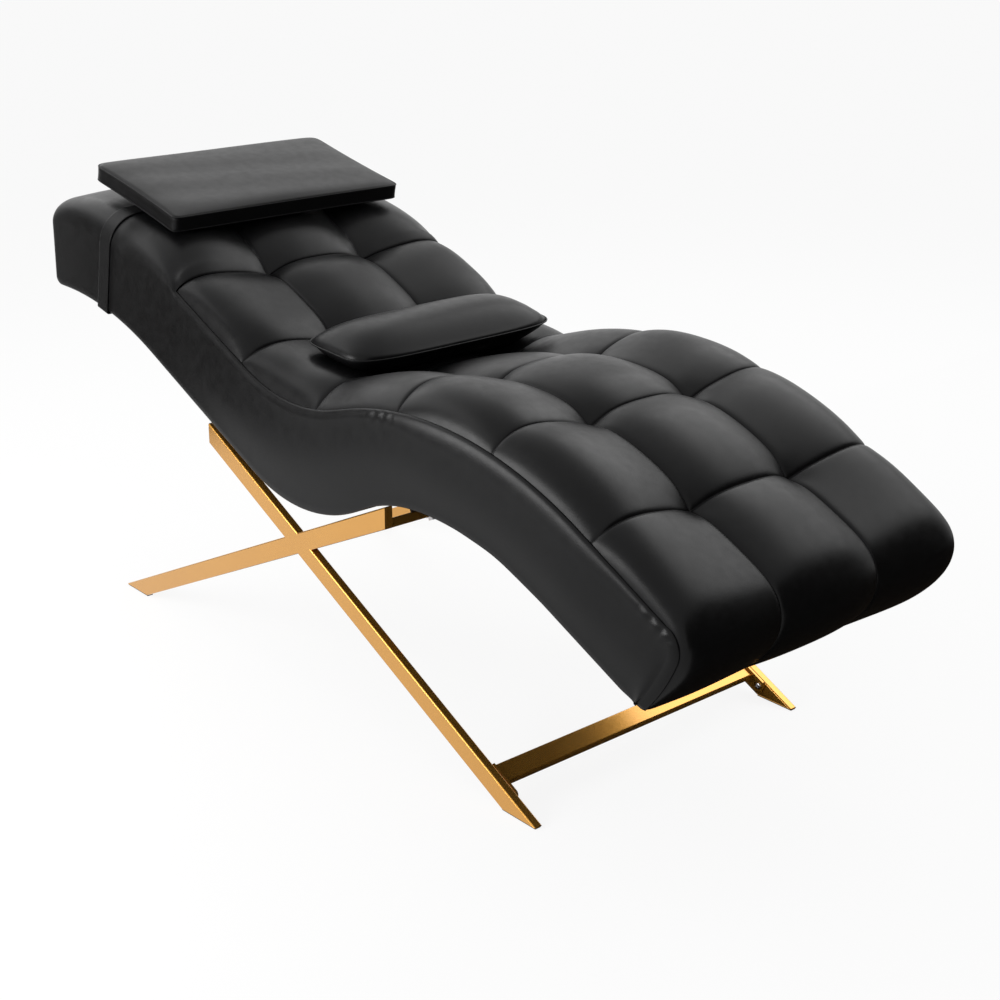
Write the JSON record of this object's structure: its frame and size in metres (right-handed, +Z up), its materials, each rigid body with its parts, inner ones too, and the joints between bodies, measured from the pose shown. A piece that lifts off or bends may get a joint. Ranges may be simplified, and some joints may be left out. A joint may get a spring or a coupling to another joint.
{
  "type": "lash chair",
  "caption": "Curved chaise with a black tufted leather cushion on a crossed gold tube base, with a strapped head pillow and a loose lumbar pillow.",
  "frame": {"origin": "on the floor, at the middle of the footprint of the whole object", "axes": "+Z up, +X from the head end to the foot end, +Y to the left of the client who lies on it"},
  "size_m": [1.783, 0.656, 0.8669],
  "materials": {
    "gold_frame": "polished gold plating on steel tube",
    "black_rubber": "matte",
    "zinc_steel": "zinc plated",
    "plywood": "raw plywood and pine",
    "foam": "open foam and fibre",
    "black_leather": "smooth satin synthetic leather",
    "black_strap": "satin",
    "dust_fabric": "thin nonwoven"
  },
  "bodies": {
    "chair": {"right_long_leg": "gold_frame", "left_long_leg": "gold_frame", "right_short_leg_lower": "gold_frame", "right_short_leg_upper": "gold_frame", "left_short_leg_lower": "gold_frame", "left_short_leg_upper": "gold_frame", "right_long_leg_cap": "gold_frame", "left_long_leg_cap": "gold_frame", "right_short_leg_cap": "gold_frame", "left_short_leg_cap": "gold_frame", "front_stretcher": "gold_frame", "right_stretcher_plate": "gold_frame", "left_stretcher_plate": "gold_frame", "front_top_rail": "gold_frame", "rear_top_rail": "gold_frame", "right_front_foot_pad": "black_rubber", "left_front_foot_pad": "black_rubber", "right_rear_foot_pad": "black_rubber", "left_rear_foot_pad": "black_rubber", "stretcher_bolts": "zinc_steel", "stretcher_inserts": "zinc_steel", "front_mount_bolts": "zinc_steel", "rear_mount_bolts": "zinc_steel", "mount_washers": "zinc_steel", "tee_nuts": "zinc_steel", "front_spacer_blocks": "plywood", "rear_spacer_blocks": "plywood", "right_side_board": "plywood", "left_side_board": "plywood", "head_rib": "plywood", "neck_rib": "plywood", "valley_rib": "plywood", "crest_rib": "plywood", "foot_rib": "plywood", "rear_mount_batten": "plywood", "front_mount_batten": "plywood", "plywood_deck": "plywood", "foam_core": "foam", "tufted_top": "black_leather", "head_pad": "black_leather", "head_end_panel": "black_leather", "right_side_panel": "black_leather", "left_side_panel": "black_leather", "dust_cover": "dust_fabric"},
    "head_pillow": {"head_pillow_cover": "black_leather", "head_pillow_foam": "foam", "pillow_strap": "black_strap"},
    "lumbar_pillow": {"lumbar_pillow_cover": "black_leather", "lumbar_pillow_filling": "foam"}
  },
  "joints": [
    {"name": "head_pillow_slide", "type": "slide", "parent": "chair", "child": "head_pillow", "axis": [-0.9781, 0, 0.2079], "range_m": [-0.04, 0.04]},
    {"name": "lumbar_pillow_lift", "type": "slide", "parent": "chair", "child": "lumbar_pillow", "axis": [0.0523, 0, 0.9986], "range_m": [0, 0.15]}
  ]
}
